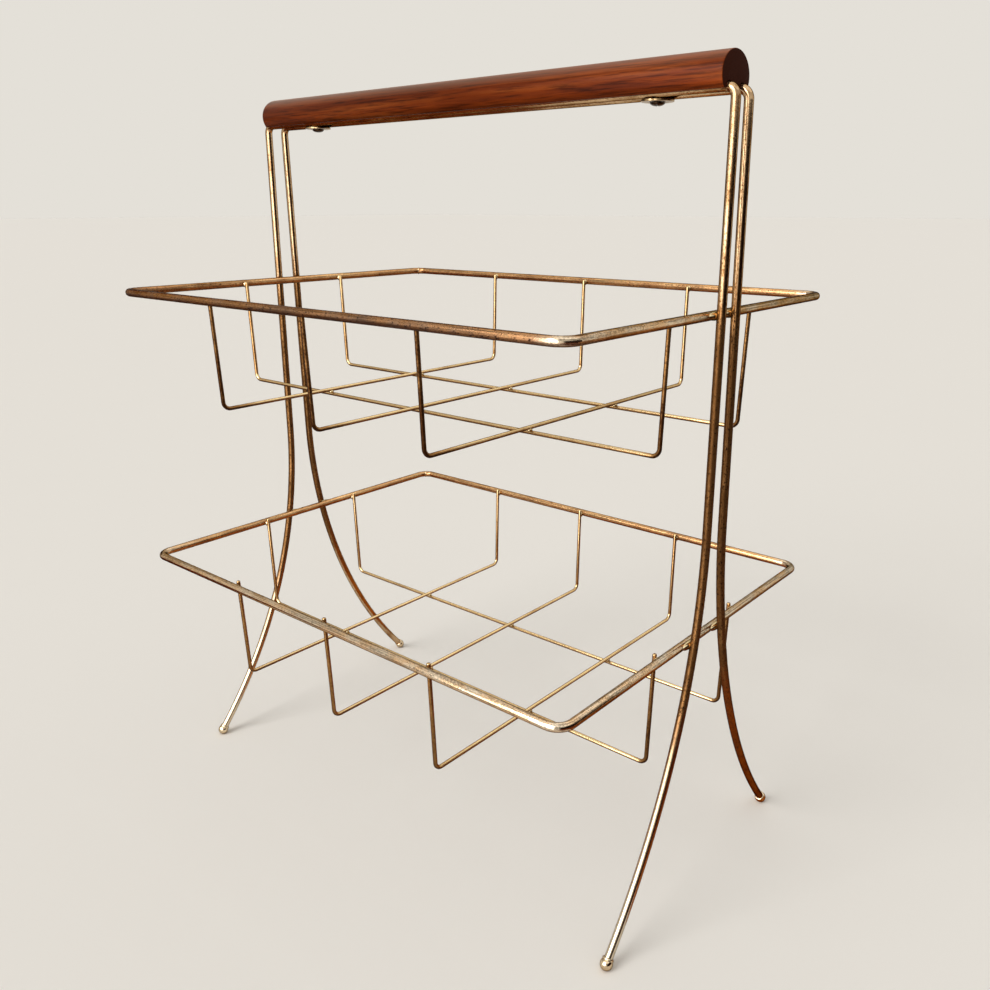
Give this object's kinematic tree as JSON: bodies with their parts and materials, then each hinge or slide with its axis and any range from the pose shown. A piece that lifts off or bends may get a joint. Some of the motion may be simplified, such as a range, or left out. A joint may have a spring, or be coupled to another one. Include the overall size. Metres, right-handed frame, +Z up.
{
  "type": "two-tier magazine rack",
  "caption": "Free-standing two-tier magazine rack of plated wire: rectangular open baskets between splayed leg hoops, under a flat-bottomed oval wooden carrying handle.",
  "frame": {"origin": "on the floor, below the middle of the rack", "axes": "+Z up, X along the handle and the long sides of the baskets, -Y the front, Y across the baskets"},
  "size_m": [0.3626, 0.2588, 0.4551],
  "materials": {
    "frame_wire": "polished plating on steel, tarnished on the upper parts",
    "basket_wire": "polished plating on steel",
    "handle_wood": "oiled, satin",
    "fastener": "dull, darkened"
  },
  "bodies": {
    "root": {"handle": "handle_wood", "front_hoop": "frame_wire", "back_hoop": "frame_wire", "foot_front_left": "frame_wire", "foot_front_right": "frame_wire", "foot_back_left": "frame_wire", "foot_back_right": "frame_wire", "upper_rim": "frame_wire", "lower_rim": "frame_wire", "upper_cross_wire_1": "basket_wire", "upper_cross_wire_2": "basket_wire", "upper_cross_wire_3": "basket_wire", "upper_long_wire_1": "basket_wire", "upper_long_wire_2": "basket_wire", "lower_cross_wire_1": "basket_wire", "lower_cross_wire_2": "basket_wire", "lower_cross_wire_3": "basket_wire", "lower_long_wire_1": "basket_wire", "lower_long_wire_2": "basket_wire", "washer_left": "fastener", "washer_right": "fastener", "screw_left": "fastener", "screw_right": "fastener"}
  },
  "joints": []
}
